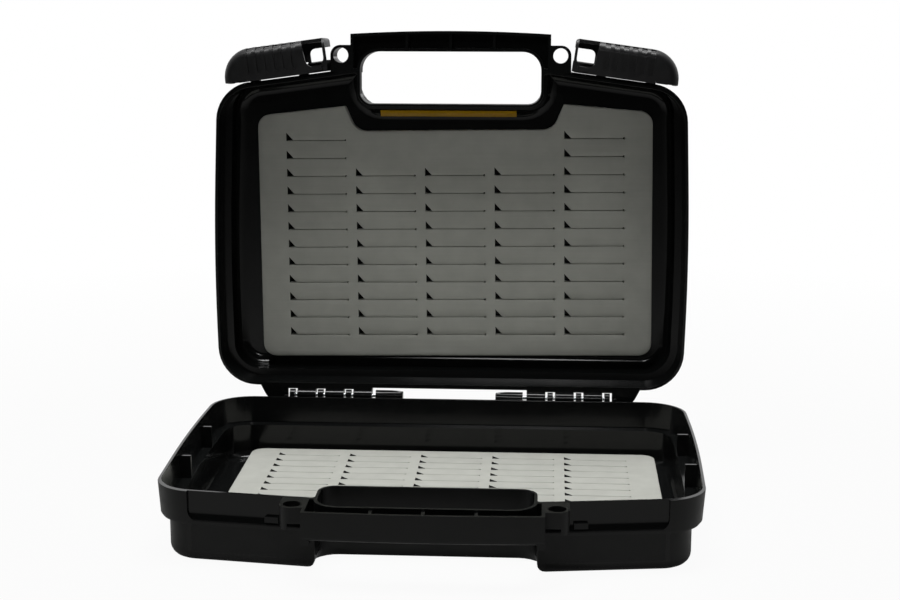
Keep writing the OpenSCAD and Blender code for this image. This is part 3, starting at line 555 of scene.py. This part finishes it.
class FLYBOX_OT_shells(bpy.types.Operator):
    """Give the base and the lid their moulded finish"""
    bl_idname = "flybox.finish_shells"
    bl_label = "Finish the shells"

    def execute(self, context):
        looks = context.scene.flybox_case
        group = smooth_group(looks.crease)
        give("base_shell", moulded_polypropylene(looks, "Moulded polypropylene, base", None))
        give("lid_shell", moulded_polypropylene(looks, "Moulded polypropylene, lid", lid_closing()))
        for name in ("base_shell", "lid_shell"):
            soften(name, group)
        return {"FINISHED"}


class FLYBOX_OT_latches(bpy.types.Operator):
    """Give the two latches their satin finish"""
    bl_idname = "flybox.finish_latches"
    bl_label = "Finish the latches"

    def execute(self, context):
        looks = context.scene.flybox_case
        group = smooth_group(looks.crease)
        material = moulded_latch_plastic(looks)
        for name in ("left_latch", "right_latch"):
            give(name, material)
            soften(name, group)
        return {"FINISHED"}


class FLYBOX_OT_pins(bpy.types.Operator):
    """Give the hinge and latch pins their drawn steel"""
    bl_idname = "flybox.finish_pins"
    bl_label = "Finish the pins"

    def execute(self, context):
        group = smooth_group(context.scene.flybox_case.crease)
        material = drawn_steel()
        for name in ("left_hinge_pin", "right_hinge_pin", "left_latch_pin", "right_latch_pin"):
            give(name, material)
            soften(name, group)
        return {"FINISHED"}


class FLYBOX_OT_foam(bpy.types.Operator):
    """Cut and lay the two foam sheets"""
    bl_idname = "flybox.lay_foam"
    bl_label = "Lay the foam"

    def execute(self, context):
        looks = context.scene.flybox_foam
        # The second material is the sheet's colour darkened: painted shade for the walls deep in the notches
        materials = closed_cell_foam(looks, "Closed-cell EVA foam, skived", 1.0), closed_cell_foam(
            looks, "Closed-cell EVA foam, painted notch shade", looks.notch_painted_shade)
        floor = min(v.co.z for v in frame["nodes"]["base_foam"].data.vertices)
        foam_sheet("slit_foam_in_base", "base_foam", Matrix.Translation((0, 0, -floor)), materials, looks)
        closing = lid_closing()
        roof = max((closing @ v.co).z for v in frame["nodes"]["lid_foam"].data.vertices)
        turned = Matrix.Scale(-1, 4, (0, 0, 1)) @ Matrix.Translation((0, 0, -roof)) @ closing
        foam_sheet("slit_foam_in_lid", "lid_foam", turned, materials, looks)
        return {"FINISHED"}


class FLYBOX_OT_label(bpy.types.Operator):
    """Give the plain label its printed film"""
    bl_idname = "flybox.finish_label"
    bl_label = "Finish the label"

    def execute(self, context):
        give("label", printed_film(context.scene.flybox_label))
        return {"FINISHED"}


def soft_light(name, kind, place, target, power, **settings):
    """A lamp of that kind at place, turned to target."""
    lamp = bpy.data.lights.new(name, kind)
    lamp.energy = power
    for setting, value in settings.items():
        setattr(lamp, setting, value)
    light = bpy.data.objects.new(name, lamp)
    light.location = place
    light.rotation_euler = (Vector(target) - Vector(place)).to_track_quat("-Z", "Y").to_euler()
    bpy.context.scene.collection.objects.link(light)


class FLYBOX_OT_studio(bpy.types.Operator):
    """Set up the pale floor, the white surroundings, the lights and the camera"""
    bl_idname = "flybox.set_studio"
    bl_label = "Set up the studio"

    def execute(self, context):
        looks = context.scene.flybox_studio
        scene = context.scene
        scene.view_settings.view_transform = "Standard"

        # Painted board: matte and pale, white to the eye but for the case's own shadow
        floor_data = bpy.data.meshes.new("studio_floor")
        reach = 40
        corners = [(-reach, -reach, 0), (reach, -reach, 0), (reach, reach, 0), (-reach, reach, 0)]
        floor_data.from_pydata(corners, [], [(0, 1, 2, 3)])
        floor = bpy.data.objects.new("studio_floor", floor_data)
        floor.location.z = CAD_BOX[0][2] - 0.2 * MM
        scene.collection.objects.link(floor)
        material, tree = new_material("Painted board, matte white")
        path = add(tree, "ShaderNodeLightPath")
        direct = add(tree, "ShaderNodeMath", {
            0: path.outputs["Is Camera Ray"], 1: path.outputs["Is Transmission Ray"]}, operation="MAXIMUM")
        mirrored = add(tree, "ShaderNodeMath", {
            0: path.outputs["Is Glossy Ray"], 1: 0.12}, operation="MULTIPLY")
        seen = add(tree, "ShaderNodeMath", {0: direct, 1: mirrored}, operation="MAXIMUM")
        place = add(tree, "ShaderNodeTexCoord").outputs["Object"]
        away = add(tree, "ShaderNodeVectorMath", {0: place}, operation="LENGTH")
        paper = add(tree, "ShaderNodeMapRange", {0: away.outputs["Value"], 1: 0.4, 2: 1.0, 3: 0.95, 4: 1.0})
        share = add(tree, "ShaderNodeMath", {0: seen, 1: paper}, operation="MULTIPLY")
        board = add(tree, "ShaderNodeBsdfDiffuse", {"Color": linear("#a4a4a2")})
        white = add(tree, "ShaderNodeEmission", {"Color": linear("#ffffff"), "Strength": 1.0})
        mixed = add(tree, "ShaderNodeMixShader", {0: share, 1: board, 2: white})
        add(tree, "ShaderNodeOutputMaterial", {"Surface": mixed})
        floor_data.materials.append(material)

        # White walls behind the case and a dim room in front of it, which the gloss mirrors
        world = bpy.data.worlds.new("Studio surroundings")
        world.use_nodes = True
        tree = world.node_tree
        tree.nodes.clear()
        path = add(tree, "ShaderNodeLightPath")
        direction = add(tree, "ShaderNodeTexCoord").outputs["Generated"]
        depth = add(tree, "ShaderNodeSeparateXYZ", {"Vector": direction})
        walls = add(tree, "ShaderNodeMapRange", {0: depth.outputs["Y"], 1: -0.4, 2: 0.4, 3: 0.02, 4: 1.0})
        around = add(tree, "ShaderNodeMix", {
            0: path.outputs["Is Glossy Ray"], 2: looks.ambient, 3: walls}, data_type="FLOAT")
        direct = add(tree, "ShaderNodeMath", {
            0: path.outputs["Is Camera Ray"], 1: path.outputs["Is Transmission Ray"]}, operation="MAXIMUM")
        strength = add(tree, "ShaderNodeMix", {0: direct, 2: around, 3: 1.0}, data_type="FLOAT")
        background = add(tree, "ShaderNodeBackground", {"Color": linear("#ffffff"), "Strength": strength})
        add(tree, "ShaderNodeOutputWorld", {"Surface": background})
        scene.world = world

        soft_light("top_light", "AREA", (-0.05, 0.08, 1.9), (0, 0, 0.05), looks.key_power, shape="RECTANGLE",
                   size=1.5, size_y=0.6)
        soft_light("lid_light", "SPOT", (0, -1.5, 0.9), (0, 0.14, 0.19), looks.fill_power,
                   spot_size=math.radians(12), spot_blend=1.0, shadow_soft_size=0.2)

        lens = bpy.data.cameras.new("photo_camera")
        lens.lens = looks.lens
        lens.sensor_width = 36
        camera = bpy.data.objects.new("photo_camera", lens)
        camera.location = (0.07596, -1.132, 0.3913)
        camera.rotation_euler = (math.radians(78.08), 0, math.radians(3.416))
        scene.collection.objects.link(camera)
        scene.camera = camera
        return {"FINISHED"}


class FLYBOX_PT_panel(bpy.types.Panel):
    """Lists the settings and the steps of the fly box"""
    bl_label = "Fly box"
    bl_idname = "FLYBOX_PT_panel"
    bl_space_type = "VIEW_3D"
    bl_region_type = "UI"
    bl_category = "Fly box"

    def draw(self, context):
        scene = context.scene
        for settings in (scene.flybox_case, scene.flybox_foam, scene.flybox_label, scene.flybox_studio):
            box = self.layout.box()
            for name in settings.__annotations__:
                box.prop(settings, name)
        for step in STEPS:
            self.layout.operator(step.bl_idname)


SETTINGS = {"flybox_case": CaseSettings, "flybox_foam": FoamSettings,
            "flybox_label": LabelSettings, "flybox_studio": StudioSettings}
STEPS = (FLYBOX_OT_shells, FLYBOX_OT_latches, FLYBOX_OT_pins, FLYBOX_OT_foam, FLYBOX_OT_label, FLYBOX_OT_studio)


def register():
    for cls in (*SETTINGS.values(), *STEPS, FLYBOX_PT_panel):
        bpy.utils.register_class(cls)
    for name, cls in SETTINGS.items():
        setattr(bpy.types.Scene, name, bpy.props.PointerProperty(type=cls))


def unregister():
    for name in SETTINGS:
        delattr(bpy.types.Scene, name)
    for cls in reversed((*SETTINGS.values(), *STEPS, FLYBOX_PT_panel)):
        bpy.utils.unregister_class(cls)


def main():
    register()
    bpy.ops.flybox.finish_shells()
    bpy.ops.flybox.finish_latches()
    bpy.ops.flybox.finish_pins()
    bpy.ops.flybox.lay_foam()
    bpy.ops.flybox.finish_label()
    bpy.ops.flybox.set_studio()
    bpy.context.view_layer.update()


if __name__ == "__main__":
    main()
